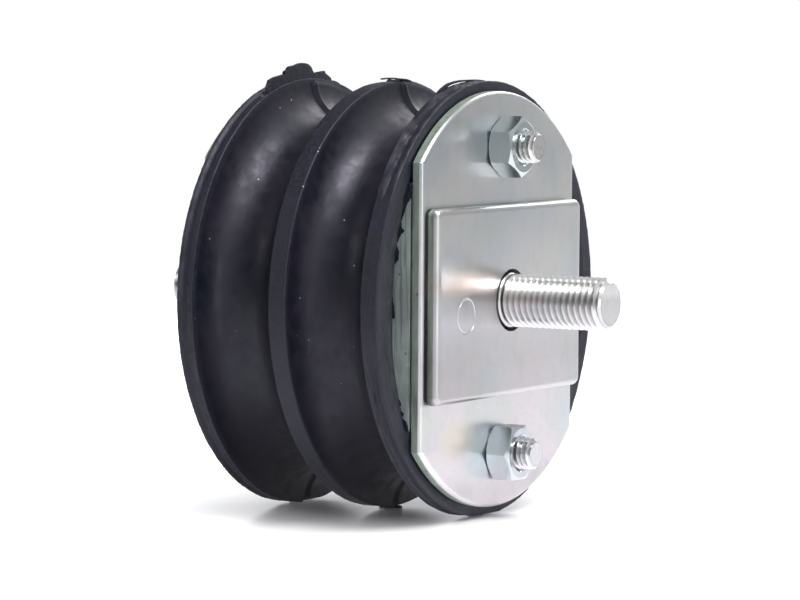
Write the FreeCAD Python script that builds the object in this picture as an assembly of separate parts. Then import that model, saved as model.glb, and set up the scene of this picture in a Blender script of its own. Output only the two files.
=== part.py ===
import FreeCAD, Part
import math
import os

# Engine mount: a moulded rubber bobbin with two round grooves, and at each end a
# bonded steel plate, a clamp plate on two bolts and a plate with the fixing stud.
# Millimetres. The origin is on the stud axis, at the front stud plate's outer face.
# +X runs out along the front stud and +Z points up as the mount lies at rest.

# Rubber body, its length and widths along X
BODY_LENGTH = 43.2
END_RIM_D = 82.2
END_RIM_WIDTH = 3.4
MIDDLE_RIM_SETBACK = 0.5
MIDDLE_RIM_WIDTH = 3.6
GROOVE_DEPTH = 8.3
RIM_LAND = 3.6
REST_SET = 0.3
RUBBER_SETBACK = 0.3

# Bonded plate and clamp plate, round with two flats in line
BONDED_MARGIN = 4.6
BONDED_T = 4.2
CLAMP_MARGIN = 1.9
CLAMP_T = 2.1
FLAT_DEPTH = 7.65
PLATE_EDGE_ROUND = 0.5

# Fixing stud
STUD_D = 10.0
STUD_LENGTH = 21.0
STUD_END_CHAMFER = 1.0
STUD_NECK_D = 10.6
STUD_HEAD_D = 18.0
STUD_CLEARANCE = 0.2

# Clamp bolts and nuts
BOLT_D = 6.0
BOLT_MARGIN = 7.7
BOLT_PROUD = 3.2
BOLT_END_CHAMFER = 0.7
BOLT_HEAD_D = 9.0
BOLT_HEAD_T = 1.8
BOLT_CLEARANCE = 0.3
NUT_ACROSS_FLATS = 10.0
NUT_T = 5.0
NUT_FACE_D = 9.4
NUT_BEVEL_DEG = 30.0
UPPER_NUT_TURN = 0.0
LOWER_NUT_TURN = 30.0

# Stud plate, inside the flats and between the nuts
STUD_PLATE_INSET = 1.35
STUD_PLATE_NUT_GAP = 5.0
STUD_PLATE_T = 2.6
STUD_PLATE_CORNER_R = 1.6

# Sizes across, each from the piece that it fits
MIDDLE_RIM_D = END_RIM_D - 2 * MIDDLE_RIM_SETBACK
NECK_D = END_RIM_D - 2 * GROOVE_DEPTH
CLAMP_D = END_RIM_D - 2 * CLAMP_MARGIN
BONDED_D = END_RIM_D - 2 * BONDED_MARGIN
ACROSS_FLATS = BONDED_D - 2 * FLAT_DEPTH
BOLT_SPACING = BONDED_D - 2 * BOLT_MARGIN
NUT_ACROSS_CORNERS = NUT_ACROSS_FLATS / math.cos(math.radians(30))
STUD_PLATE_WIDTH = ACROSS_FLATS - 2 * STUD_PLATE_INSET
STUD_PLATE_HEIGHT = BOLT_SPACING - NUT_ACROSS_CORNERS - 2 * STUD_PLATE_NUT_GAP

# Places along X, from the seat inwards
STUD_PLATE_BACK = -STUD_PLATE_T
CLAMP_BACK = STUD_PLATE_BACK - CLAMP_T
BONDED_BACK = CLAMP_BACK - BONDED_T
BODY_FRONT = CLAMP_BACK - RUBBER_SETBACK
BODY_REAR = BODY_FRONT - BODY_LENGTH
MIDDLE = (BODY_FRONT + BODY_REAR) / 2
BOLT_END = STUD_PLATE_BACK + NUT_T + BOLT_PROUD

AXIS = FreeCAD.Vector(1, 0, 0)
UP = FreeCAD.Vector(0, 0, 1)
CENTRE = FreeCAD.Vector(0, 0, 0)


def point(x, y, z):
    return FreeCAD.Vector(x, y, z)


def rod(diameter, start, end, height=0.0):
    """A round bar along X from start to end, its axis at the given height."""
    return Part.makeCylinder(diameter / 2, end - start, point(start, 0, height), AXIS)


def turned(outline, height=0.0):
    """A solid of revolution: outline is a list of (x, radius) from axis to axis."""
    points = [point(x, 0, radius) for x, radius in outline]
    face = Part.Face(Part.makePolygon(points + points[:1]))
    solid = face.revolve(CENTRE, AXIS, 360)
    solid.translate(point(0, 0, height))
    return solid


def rounded_front(plate):
    """Round the edges of a plate's outer face, the one furthest along X."""
    face = max(plate.Faces, key=lambda f: f.CenterOfMass.x)
    return plate.makeFillet(PLATE_EDGE_ROUND, face.OuterWire.Edges)


def flatted_disc(diameter, back, thickness):
    """A round plate with two upright flats, which face +Y and -Y."""
    radius = diameter / 2
    flat = ACROSS_FLATS / 2
    corner = math.sqrt(radius ** 2 - flat ** 2)
    top = Part.Arc(point(back, -flat, corner), point(back, 0, radius), point(back, flat, corner))
    bottom = Part.Arc(point(back, flat, -corner), point(back, 0, -radius), point(back, -flat, -corner))
    right = Part.LineSegment(point(back, flat, corner), point(back, flat, -corner))
    left = Part.LineSegment(point(back, -flat, -corner), point(back, -flat, corner))
    wire = Part.Wire([top.toShape(), right.toShape(), bottom.toShape(), left.toShape()])
    return Part.Face(wire).extrude(point(thickness, 0, 0))


def bolt_heights():
    return {"upper": BOLT_SPACING / 2, "lower": -BOLT_SPACING / 2}


def bonded_plate():
    plate = rounded_front(flatted_disc(BONDED_D, BONDED_BACK, BONDED_T))
    plate = plate.cut(rod(STUD_HEAD_D + 2 * STUD_CLEARANCE, BONDED_BACK, CLAMP_BACK))
    for height in bolt_heights().values():
        plate = plate.cut(rod(BOLT_D, BONDED_BACK, CLAMP_BACK, height))
        plate = plate.cut(rod(BOLT_HEAD_D, BONDED_BACK, BONDED_BACK + BOLT_HEAD_T, height))
    return plate


def clamp_plate():
    plate = rounded_front(flatted_disc(CLAMP_D, CLAMP_BACK, CLAMP_T))
    plate = plate.cut(rod(STUD_NECK_D + 2 * STUD_CLEARANCE, CLAMP_BACK, STUD_PLATE_BACK))
    for height in bolt_heights().values():
        plate = plate.cut(rod(BOLT_D + 2 * BOLT_CLEARANCE, CLAMP_BACK, STUD_PLATE_BACK, height))
    return plate


def stud_plate():
    corner = point(STUD_PLATE_BACK, -STUD_PLATE_WIDTH / 2, -STUD_PLATE_HEIGHT / 2)
    plate = Part.makeBox(STUD_PLATE_T, STUD_PLATE_WIDTH, STUD_PLATE_HEIGHT, corner)
    upright = [e for e in plate.Edges if abs(e.tangentAt(e.FirstParameter).dot(AXIS)) > 0.5]
    plate = plate.makeFillet(STUD_PLATE_CORNER_R, upright)
    plate = rounded_front(plate)
    return plate.cut(rod(STUD_NECK_D + 2 * STUD_CLEARANCE, STUD_PLATE_BACK, 0.0))


def stud():
    """The fixing stud: its head fills the hole in the bonded plate."""
    tip = STUD_D / 2 - STUD_END_CHAMFER
    return turned([
        (BONDED_BACK, 0),
        (BONDED_BACK, STUD_HEAD_D / 2),
        (CLAMP_BACK, STUD_HEAD_D / 2),
        (CLAMP_BACK, STUD_NECK_D / 2),
        (0, STUD_NECK_D / 2),
        (0, STUD_D / 2),
        (STUD_LENGTH - STUD_END_CHAMFER, STUD_D / 2),
        (STUD_LENGTH, tip),
        (STUD_LENGTH, 0),
    ])


def bolt(height):
    """A clamp bolt: its low head is sunk flush in the bonded plate's back."""
    tip = BOLT_D / 2 - BOLT_END_CHAMFER
    under_head = BONDED_BACK + BOLT_HEAD_T
    return turned([
        (BONDED_BACK, 0),
        (BONDED_BACK, BOLT_HEAD_D / 2),
        (under_head, BOLT_HEAD_D / 2),
        (under_head, BOLT_D / 2),
        (BOLT_END - BOLT_END_CHAMFER, BOLT_D / 2),
        (BOLT_END, tip),
        (BOLT_END, 0),
    ], height)


def nut(height, turn):
    """A hexagon nut on the clamp plate; at no turn two flats face +Y and -Y."""
    corner_r = NUT_ACROSS_CORNERS / 2
    angles = [math.radians(turn + 60 * i) for i in range(7)]
    ring = [point(STUD_PLATE_BACK, corner_r * math.sin(a), corner_r * math.cos(a)) for a in angles]
    hexagon = Part.Face(Part.makePolygon(ring)).extrude(point(NUT_T, 0, 0))
    bevel = (corner_r - NUT_FACE_D / 2) * math.tan(math.radians(NUT_BEVEL_DEG))
    envelope = turned([
        (STUD_PLATE_BACK, 0),
        (STUD_PLATE_BACK, NUT_FACE_D / 2),
        (STUD_PLATE_BACK + bevel, corner_r),
        (STUD_PLATE_BACK + NUT_T - bevel, corner_r),
        (STUD_PLATE_BACK + NUT_T, NUT_FACE_D / 2),
        (STUD_PLATE_BACK + NUT_T, 0),
    ])
    solid = hexagon.common(envelope)
    solid = solid.cut(rod(BOLT_D, STUD_PLATE_BACK, STUD_PLATE_BACK + NUT_T))
    solid.translate(point(0, 0, height))
    return solid


def front_end():
    heights = bolt_heights()
    return {
        "bonded_plate": bonded_plate(),
        "clamp_plate": clamp_plate(),
        "stud_plate": stud_plate(),
        "stud": stud(),
        "upper_bolt": bolt(heights["upper"]),
        "lower_bolt": bolt(heights["lower"]),
        "upper_nut": nut(heights["upper"], UPPER_NUT_TURN),
        "lower_nut": nut(heights["lower"], LOWER_NUT_TURN),
    }


def at_rear(solid):
    """The same piece at the other end: half a turn about the upright centre line."""
    turned_round = solid.copy()
    turned_round.rotate(point(MIDDLE, 0, 0), UP, 180)
    return turned_round


def end_recess():
    """What the rubber leaves free at the front end: the bonded plate's place, and
    beside each of its flats a conical dish that lays the plate's side bare."""
    flat = ACROSS_FLATS / 2
    beyond = BODY_FRONT + BONDED_T
    dish = turned([
        (BONDED_BACK, 0),
        (BONDED_BACK, flat),
        (BODY_FRONT, END_RIM_D / 2 - RIM_LAND),
        (beyond, END_RIM_D / 2 - RIM_LAND),
        (beyond, 0),
    ])
    between_flats = Part.makeBox(
        2 * BONDED_T, 2 * flat, END_RIM_D, point(BONDED_BACK, -flat, -END_RIM_D / 2)
    )
    return dish.cut(between_flats).fuse(flatted_disc(BONDED_D, BONDED_BACK, 2 * BONDED_T))


def groove(start, start_r, end, end_r):
    """The round flank of a groove, from one rim's edge to the next rim's edge."""
    bottom = point((start + end) / 2, 0, NECK_D / 2)
    return Part.Arc(point(start, 0, start_r), bottom, point(end, 0, end_r)).toShape()


def line(start, start_r, end, end_r):
    return Part.LineSegment(point(start, 0, start_r), point(end, 0, end_r)).toShape()


def rubber_body():
    end_r = END_RIM_D / 2
    middle_r = MIDDLE_RIM_D / 2
    rear_edge = BODY_REAR + END_RIM_WIDTH
    front_edge = BODY_FRONT - END_RIM_WIDTH
    middle_rear = MIDDLE - MIDDLE_RIM_WIDTH / 2
    middle_front = MIDDLE + MIDDLE_RIM_WIDTH / 2
    profile = Part.Wire([
        line(BODY_REAR, 0, BODY_REAR, end_r),
        line(BODY_REAR, end_r, rear_edge, end_r),
        groove(rear_edge, end_r, middle_rear, middle_r),
        line(middle_rear, middle_r, middle_front, middle_r),
        groove(middle_front, middle_r, front_edge, end_r),
        line(front_edge, end_r, BODY_FRONT, end_r),
        line(BODY_FRONT, end_r, BODY_FRONT, 0),
        line(BODY_FRONT, 0, BODY_REAR, 0),
    ])
    body = Part.Face(profile).revolve(CENTRE, AXIS, 360)
    recess = end_recess()
    body = body.cut(recess).cut(at_rear(recess))
    below = point(BODY_REAR, -END_RIM_D / 2, REST_SET - END_RIM_D)
    floor_side = Part.makeBox(BODY_LENGTH, END_RIM_D, END_RIM_D / 2, below)
    return body.cut(floor_side)


def main():
    os.makedirs("parts", exist_ok=True)
    nodes = {"rubber_body": rubber_body()}
    for name, solid in front_end().items():
        nodes["front_" + name] = solid
        nodes["rear_" + name] = at_rear(solid)
    for name, solid in nodes.items():
        solid.exportStep("parts/" + name + ".step")


main()
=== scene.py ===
"""Engine mount: the rubber moulding with its flash, the pressed plates, threaded studs,
clamp bolts and nuts, and a pale studio stage. Metres, in the frame of the CAD model."""

import math

import bpy
import numpy as np
from mathutils import Matrix, Vector, noise


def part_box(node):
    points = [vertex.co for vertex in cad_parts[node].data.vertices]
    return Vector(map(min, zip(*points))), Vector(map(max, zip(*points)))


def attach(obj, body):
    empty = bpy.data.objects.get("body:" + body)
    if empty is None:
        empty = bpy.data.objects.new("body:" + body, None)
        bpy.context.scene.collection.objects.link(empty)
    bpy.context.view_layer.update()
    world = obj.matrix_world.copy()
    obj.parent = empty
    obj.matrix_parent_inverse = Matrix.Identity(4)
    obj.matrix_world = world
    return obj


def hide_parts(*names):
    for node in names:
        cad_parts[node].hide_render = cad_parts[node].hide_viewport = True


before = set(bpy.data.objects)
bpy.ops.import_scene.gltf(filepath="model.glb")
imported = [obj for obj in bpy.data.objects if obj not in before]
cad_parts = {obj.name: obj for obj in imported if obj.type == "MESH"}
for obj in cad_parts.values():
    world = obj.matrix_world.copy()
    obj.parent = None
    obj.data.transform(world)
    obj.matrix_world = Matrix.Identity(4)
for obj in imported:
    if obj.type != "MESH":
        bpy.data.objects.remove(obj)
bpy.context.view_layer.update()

bl_info = {
    "name": "Engine Mount",
    "version": (1, 0, 0),
    "blender": (4, 5, 0),
    "location": "3D View > Sidebar > Engine Mount",
    "description": "Models the engine mount's rubber, plates, studs, bolts and nuts",
    "category": "Object",
}

MM = 0.001
ALONG_X = (0, math.pi / 2, 0)
RUBBER_LOW, RUBBER_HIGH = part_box("rubber_body")
BONDED_LOW, BONDED_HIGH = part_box("front_bonded_plate")
CLAMP_LOW, CLAMP_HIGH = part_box("front_clamp_plate")
SEAT_LOW, SEAT_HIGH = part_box("front_stud_plate")
STUD_LOW, STUD_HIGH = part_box("front_stud")
BOLT_LOW, BOLT_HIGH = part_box("front_upper_bolt")
NUT_LOW, NUT_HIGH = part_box("front_upper_nut")

MIDDLE = (RUBBER_LOW.x + RUBBER_HIGH.x) / 2
FLOOR = RUBBER_LOW.z
END_R = RUBBER_HIGH.z
FLAT = BONDED_HIGH.y
BONDED_R = BONDED_HIGH.z
BOLT_HEIGHT = (BOLT_LOW.z + BOLT_HIGH.z) / 2


def metres(name, description, default):
    return bpy.props.FloatProperty(
        name=name, description=description, default=default, unit="LENGTH", subtype="DISTANCE")


def degrees(name, description, default):
    return bpy.props.FloatProperty(
        name=name, description=description, default=math.radians(default), unit="ROTATION",
        subtype="ANGLE")


def paint(name, description, default):
    return bpy.props.FloatVectorProperty(
        name=name, description=description, default=default, size=3, subtype="COLOR")


class RubberSettings(bpy.types.PropertyGroup):
    rim_width: metres("Rim Width", "Width of each end rim's outer band", 3.4 * MM)
    middle_rim_radius: metres(
        "Middle Rim Radius", "Radius of the rim between the grooves", 40.6 * MM)
    middle_rim_width: metres("Middle Rim Width", "Width of the rim between the grooves", 3.6 * MM)
    neck_radius: metres("Neck Radius", "Radius at the bottom of the round grooves", 32.8 * MM)
    lap_depth: metres("Lap Depth", "Depth of the lap marks on the end rims", 0.42 * MM)
    seam_step: metres("Seam Step", "Step between the mould halves at the top seam", 0.42 * MM)
    colour: paint("Rubber Colour", "Colour of the clean rubber", (0.0058, 0.0064, 0.0120))


class PlateSettings(bpy.types.PropertyGroup):
    edge_round: metres("Edge Round", "Rounding of the clamp plates' outer edges", 0.85 * MM)
    seat_round: metres(
        "Seat Round", "Rounding of the outer edges of the plates at the studs", 1.2 * MM)
    corner_radius: metres("Corner Radius", "Corner radius of the plate at the stud", 1.6 * MM)
    ring_mark_radius: metres(
        "Ring Mark Radius", "Radius of the ring pressed in beside the stud", 3.2 * MM)
    colour: paint("Zinc Colour", "Colour of the zinc plating", (0.74, 0.75, 0.76))


class ThreadSettings(bpy.types.PropertyGroup):
    stud_pitch: metres("Stud Pitch", "Thread pitch of the fixing studs", 1.25 * MM)
    bolt_pitch: metres("Bolt Pitch", "Thread pitch of the clamp bolts", 1.0 * MM)


class StageSettings(bpy.types.PropertyGroup):
    azimuth: degrees("Azimuth", "Camera's turn round the mount", 30.85)
    elevation: degrees("Elevation", "Camera's angle above the horizon", 4.09)
    roll: degrees("Roll", "Camera's turn about its own line of sight", 0.367)
    distance: metres("Distance", "Camera's distance from the seat", 0.725)
    side_step: metres("Side Step", "How far the camera stands to the left of the seat", 21.04 * MM)
    lens: bpy.props.FloatProperty(
        name="Lens", description="Focal length in millimetres on a 36 mm sensor",
        default=173.46)
    floor_colour: paint("Floor Colour", "Colour of the floor", (0.90, 0.89, 0.92))


# Modelling by hand

def edit_mode():
    bpy.ops.object.mode_set(mode="EDIT")


def edit_all():
    """Go into edit mode with everything selected."""
    edit_mode()
    bpy.ops.mesh.select_all(action="SELECT")


def object_mode():
    bpy.ops.object.mode_set(mode="OBJECT")


def deselect():
    if bpy.context.mode != "OBJECT":
        object_mode()
    bpy.ops.object.select_all(action="DESELECT")


def choose(piece):
    deselect()
    piece.select_set(True)
    bpy.context.view_layer.objects.active = piece


def named(name):
    piece = bpy.context.active_object
    piece.name = name
    piece.data.name = name
    return piece


def settle():
    """Move the active object's place and size into its mesh."""
    bpy.ops.object.transform_apply(location=True, rotation=True, scale=True)


def drawn(name, points):
    """A line through the points, drawn vertex by vertex."""
    deselect()
    bpy.ops.mesh.primitive_plane_add(size=MM)
    piece = named(name)
    edit_mode()
    bpy.ops.mesh.select_mode(type="VERT")
    bpy.ops.mesh.merge(type="CENTER")
    bpy.ops.transform.translate(value=points[0])
    for start, end in zip(points, points[1:]):
        step = Vector(end) - Vector(start)
        bpy.ops.mesh.extrude_vertices_move(TRANSFORM_OT_translate={"value": step})
    object_mode()
    return piece


def spun(name, outline, steps):
    """A turned shape: outline is a list of (x, radius) about the stud axis."""
    piece = drawn(name, [(x, 0, radius) for x, radius in outline])
    edit_all()
    bpy.ops.mesh.spin(steps=steps, angle=math.tau, center=(0, 0, 0), axis=(1, 0, 0))
    tidy_shell()
    return piece


def tidy_shell():
    """Merge doubles and point all faces outwards; ends in object mode."""
    bpy.ops.mesh.select_all(action="SELECT")
    bpy.ops.mesh.remove_doubles(threshold=1e-6)
    bpy.ops.mesh.normals_make_consistent(inside=False)
    object_mode()


def bar(name, radius, start, end, vertices=96, height=0.0):
    """A round bar along X, as a cutter or a blank."""
    deselect()
    bpy.ops.mesh.primitive_cylinder_add(
        vertices=vertices, radius=radius, depth=end - start,
        location=((start + end) / 2, 0, height), rotation=ALONG_X)
    piece = named(name)
    settle()
    return piece


def cut_off(place, normal):
    """In edit mode, cut away what lies past a plane and close the cut."""
    bpy.ops.mesh.select_all(action="SELECT")
    bpy.ops.mesh.bisect(plane_co=place, plane_no=normal, use_fill=True, clear_outer=True)


def modified(piece, kind, **values):
    """Add a modifier with these values and apply it."""
    choose(piece)
    change = piece.modifiers.new("Change", kind)
    for name, value in values.items():
        setattr(change, name, value)
    bpy.ops.object.modifier_apply(modifier=change.name)


def block(name, centre, size):
    deselect()
    bpy.ops.mesh.primitive_cube_add(size=1, location=centre)
    piece = named(name)
    piece.scale = size
    settle()
    return piece


def combined(piece, other, operation):
    """Join, cut or intersect with another shape, which is used up."""
    modified(piece, "BOOLEAN", operation=operation, object=other, solver="EXACT")
    bpy.data.objects.remove(other)
    return piece


def select_none(kind):
    """Set edit mode to vertices, edges or faces with none selected; ends in object mode."""
    edit_mode()
    bpy.ops.mesh.select_mode(type=kind)
    bpy.ops.mesh.select_all(action="DESELECT")
    object_mode()


def select_where(piece, test):
    """In edit mode, select the faces whose centre and normal pass the test."""
    choose(piece)
    select_none("FACE")
    for face in piece.data.polygons:
        face.select = test(face.center, face.normal)
    edit_mode()


def smooth(piece, angle=30):
    choose(piece)
    bpy.ops.object.shade_smooth_by_angle(angle=math.radians(angle))


def walled(piece, thickness):
    """Give a thin sheet its thickness, half to each side."""
    modified(piece, "SOLIDIFY", thickness=thickness, offset=0)


def softened(piece, width, angle):
    """Round every edge that is sharper than the angle in degrees."""
    modified(
        piece, "BEVEL", width=width, segments=2, limit_method="ANGLE",
        angle_limit=math.radians(angle))


def weighted(piece):
    """Keep large flat faces flat where a rounded edge runs into them."""
    modified(piece, "WEIGHTED_NORMAL", keep_sharp=True, weight=100)


def lifted(piece, height):
    choose(piece)
    edit_all()
    bpy.ops.transform.translate(value=(0, 0, height))
    object_mode()
    return piece


def copied(piece, name):
    choose(piece)
    bpy.ops.object.duplicate()
    return named(name)


def at_rear(piece):
    """A copy at the other end, half a turn about the upright centre line."""
    copy = copied(piece, piece.name.replace("front", "rear"))
    edit_all()
    bpy.ops.transform.rotate(value=math.pi, orient_axis="Z", center_override=(MIDDLE, 0, 0))
    object_mode()
    return copy


def points_of(piece):
    points = np.empty(len(piece.data.vertices) * 3)
    piece.data.vertices.foreach_get("co", points)
    return points.reshape(-1, 3)


def set_points(piece, points):
    piece.data.vertices.foreach_set("co", points.ravel())
    piece.data.update()


def grain(points, scale, seed=0.0):
    """Smooth noise from -1 to 1 at each point; scale is bumps for each metre."""
    offset = Vector((seed, seed * 0.37, -seed))
    return np.array([noise.noise(Vector(p) * scale + offset) for p in points])


def smoothstep(low, high, value):
    share = np.clip((value - low) / (high - low), 0, 1)
    return share * share * (3 - 2 * share)


def finish_piece(piece, material, slot, *nodes):
    piece.data.materials.clear()
    piece.data.materials.append(material)
    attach(piece, "root")
    if nodes:
        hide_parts(*nodes)


def finish_ends(front, material, slot, node):
    """Finish a front piece and its copy at the rear; node is the solids' name without its end."""
    rear = at_rear(front)
    finish_piece(front, material, slot, "front_" + node)
    finish_piece(rear, material, slot, "rear_" + node)


# Materials

class Nodes:
    """A short way to write a node tree."""

    def __init__(self, tree):
        self.tree = tree
        self.coordinates = self.add("ShaderNodeTexCoord")

    def add(self, kind, **values):
        node = self.tree.nodes.new(kind)
        for name, value in values.items():
            setattr(node, name, value)
        return node

    def put(self, socket, value):
        if isinstance(value, bpy.types.NodeSocket):
            self.tree.links.new(value, socket)
        else:
            socket.default_value = value

    def made(self, kind, inputs, output=0, **values):
        """Add a node, fill its inputs by name or number, and return one output."""
        node = self.add(kind, **values)
        for key, value in inputs.items():
            self.put(node.inputs[key], value)
        return node.outputs[output]

    def math(self, operation, *values):
        return self.made("ShaderNodeMath", dict(enumerate(values)), operation=operation)

    def times(self, first, second):
        return self.math("MULTIPLY", first, second)

    def ranged(self, value, low, high, to_low=0.0, to_high=1.0):
        """A soft ramp from to_low at low to to_high at high."""
        inputs = dict(enumerate((value, low, high, to_low, to_high)))
        return self.made("ShaderNodeMapRange", inputs, interpolation_type="SMOOTHSTEP")

    def blended(self, share, first, second):
        """Numbers mixed, as mixed does with colours."""
        return self.made("ShaderNodeMix", {0: share, 2: first, 3: second}, data_type="FLOAT")

    def between(self, value, low, high):
        """1 where the value lies between low and high, and 0 elsewhere."""
        return self.times(
            self.math("GREATER_THAN", value, low), self.math("LESS_THAN", value, high))

    def split(self, vector):
        node = self.add("ShaderNodeSeparateXYZ")
        self.put(node.inputs[0], vector)
        return node.outputs

    def radius(self, y, z):
        squares = self.math("ADD", self.math("POWER", y, 2.0), self.math("POWER", z, 2.0))
        return self.math("SQRT", squares)


class Shader(Nodes):
    """A short way to write a material."""

    def __init__(self, name):
        self.material = bpy.data.materials.new(name)
        self.material.use_nodes = True
        super().__init__(self.material.node_tree)
        self.surface = self.tree.nodes["Principled BSDF"]
        self.place = self.coordinates.outputs["Object"]

    def stretched(self, scale=(1, 1, 1), offset=(0, 0, 0)):
        inputs = {"Vector": self.place, "Scale": scale, "Location": offset}
        return self.made("ShaderNodeMapping", inputs)

    def reach(self, scale, offset):
        """Distance from a centre, in half sizes."""
        inputs = {0: self.stretched(scale, offset)}
        return self.made("ShaderNodeVectorMath", inputs, "Value", operation="LENGTH")

    def noise(self, scale, detail=4.0, roughness=0.5, place=None):
        inputs = {"Vector": place or self.place, "Scale": scale, "Detail": detail,
                  "Roughness": roughness}
        return self.made("ShaderNodeTexNoise", inputs)

    def mixed(self, share, first, second, blend="MIX"):
        inputs = {"Factor": share, 6: first, 7: second}
        return self.made("ShaderNodeMix", inputs, 2, data_type="RGBA", blend_type=blend)

    def specks(self, scale, size, share, place=None):
        """Sparse round dots: 1 inside a dot and 0 elsewhere."""
        cells = self.add("ShaderNodeTexVoronoi")
        self.put(cells.inputs["Vector"], place or self.place)
        self.put(cells.inputs["Scale"], scale)
        chance = self.made("ShaderNodeSeparateColor", {0: cells.outputs["Color"]})
        dot = self.ranged(cells.outputs["Distance"], size, size * 0.5)
        return self.times(dot, self.math("LESS_THAN", chance, share))

    def spot(self, centre, size, strength):
        """A soft oval on a plate's outer face: centre and half sizes are (y, z)."""
        scale = (0, 1 / size[0], 1 / size[1])
        offset = (0, -centre[0] / size[0], -centre[1] / size[1])
        return self.ranged(self.reach(scale, offset), 1.0, 0.1, 0.0, strength)

    def bump(self, height, strength, distance, normal=None):
        inputs = {"Strength": strength, "Distance": distance, "Height": height}
        if normal is not None:
            inputs["Normal"] = normal
        return self.made("ShaderNodeBump", inputs)

    def dressed(self, shade, rough, normal):
        """Give the surface its colour, roughness and relief, and return the material."""
        self.put(self.surface.inputs["Base Color"], shade)
        self.put(self.surface.inputs["Roughness"], rough)
        self.put(self.surface.inputs["Normal"], normal)
        return self.material


def colour(value):
    return (value[0], value[1], value[2], 1.0)


def tinted(base, *factors):
    """The base colour times one factor, or times one for each channel."""
    return colour([c * factor for c, factor in zip(base, factors * 3)])


def sheared_sides(shader, base, away, streaks):
    """The dull, streaked and speckled colour of the plates' sheared sides, with painted glints."""
    bands = shader.noise(900, 3.0, 0.5, shader.stretched((1.5, 0.08, 0.08)))
    dull = shader.mixed(
        shader.ranged(streaks, 0.35, 0.7),
        tinted(base, 0.80, 0.92, 0.85), tinted(base, 1.02, 1.14, 1.06))
    dull = shader.mixed(shader.ranged(bands, 0.50, 0.66, 0.0, 0.65), dull, tinted(base, 0.42))
    dark = shader.specks(800, 0.26, 0.16)
    dull = shader.mixed(shader.times(dark, 0.6), dull, tinted(base, 0.25))
    # Painted glints: sparse near-white specks
    painted_glints = shader.specks(600, 0.18, 0.07, shader.stretched((0.6, 1, 1)))
    dull = shader.mixed(shader.times(painted_glints, 0.6), dull, (0.95, 0.97, 0.95, 1))
    clamp = shader.math("GREATER_THAN", away, CLAMP_LOW.x - MIDDLE)
    return shader.mixed(clamp, dull, (0.64, 0.66, 0.60, 1), "MULTIPLY")


def painted_plate_light(shader, base, place, shade):
    """Painted light on the outer faces of the front plates: a warm, darker painted reflection of
    the stud, a lighter warm patch low down, and painted shade towards -Y, lower down and towards
    the bottom edge.
    """
    x, y, z = place
    outer = shader.math("GREATER_THAN", x, -3.0 * MM)
    # Painted reflection of the stud: a warm, darker band on the plate beside it
    band = shader.spot((-16.5 * MM, 4.0 * MM), (17 * MM, 4.4 * MM), 0.8)
    shade = shader.mixed(shader.times(band, outer), shade, tinted(base, 0.72, 0.56, 0.50))
    # A lighter warm patch low on the plate
    low = shader.spot((-16 * MM, -25 * MM), (9 * MM, 6 * MM), 0.8)
    shade = shader.mixed(shader.times(low, outer), shade, tinted(base, 1.16, 1.05, 0.88))
    # Painted shade: darker towards -Y and lower down, and under the seat plate darker towards the
    # bottom edge
    painted_shade_tone = shader.times(
        shader.ranged(y, -20 * MM, 10 * MM, 0.80, 0.94),
        shader.ranged(z, -3 * MM, -12 * MM, 1.0, 0.86))
    below = shader.ranged(z, -30 * MM, -36 * MM, 0.98, 0.82)
    under_seat = shader.ranged(z, SEAT_LOW.z + 0.4 * MM, SEAT_LOW.z - 0.4 * MM)
    return shader.mixed(outer, shade, shader.mixed(under_seat, painted_shade_tone, below), "MULTIPLY")


def painted_thread_shade(shader, base, place, away, thread, shade):
    """Painted shade in the thread's roots and in the relief and collar at its foot; on the stud, a
    painted highlight on the upper half.
    """
    y, z = place[1:]
    height, root, crest = thread
    radius = shader.radius(y, shader.math("SUBTRACT", shader.math("ABSOLUTE", z), height))
    # Painted shade in the thread's roots
    deep = shader.times(
        shader.ranged(radius, crest - 0.15 * MM, root, 0.0, 0.30),
        shader.ranged(radius, 0.80 * root, 0.96 * root))
    # On the stud, a painted highlight lightens the upper half and weakens the painted root shade
    # there
    if not height:
        upper = shader.ranged(z, 0.5 * MM, 2.5 * MM)
        shade = shader.mixed(upper, shade, (0.98, 0.97, 0.96, 1))
        deep = shader.times(deep, shader.ranged(upper, 0.0, 1.0, 1.0, 0.4))
    # Painted shade in the relief groove and round the collar at the foot
    seat = SEAT_HIGH.x - MIDDLE
    relief = shader.between(away, seat + 0.32 * MM, seat + 0.90 * MM)
    deep = shader.math("MAXIMUM", deep, shader.times(relief, 0.7))
    for reach, strength in ((0.01 * MM, 0.8), (0.33 * MM, 0.4)):
        inside = shader.math("LESS_THAN", away, seat + reach)
        deep = shader.math("MAXIMUM", deep, shader.times(inside, strength))
    return shader.mixed(deep, shade, tinted(base, 0.30))


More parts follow.
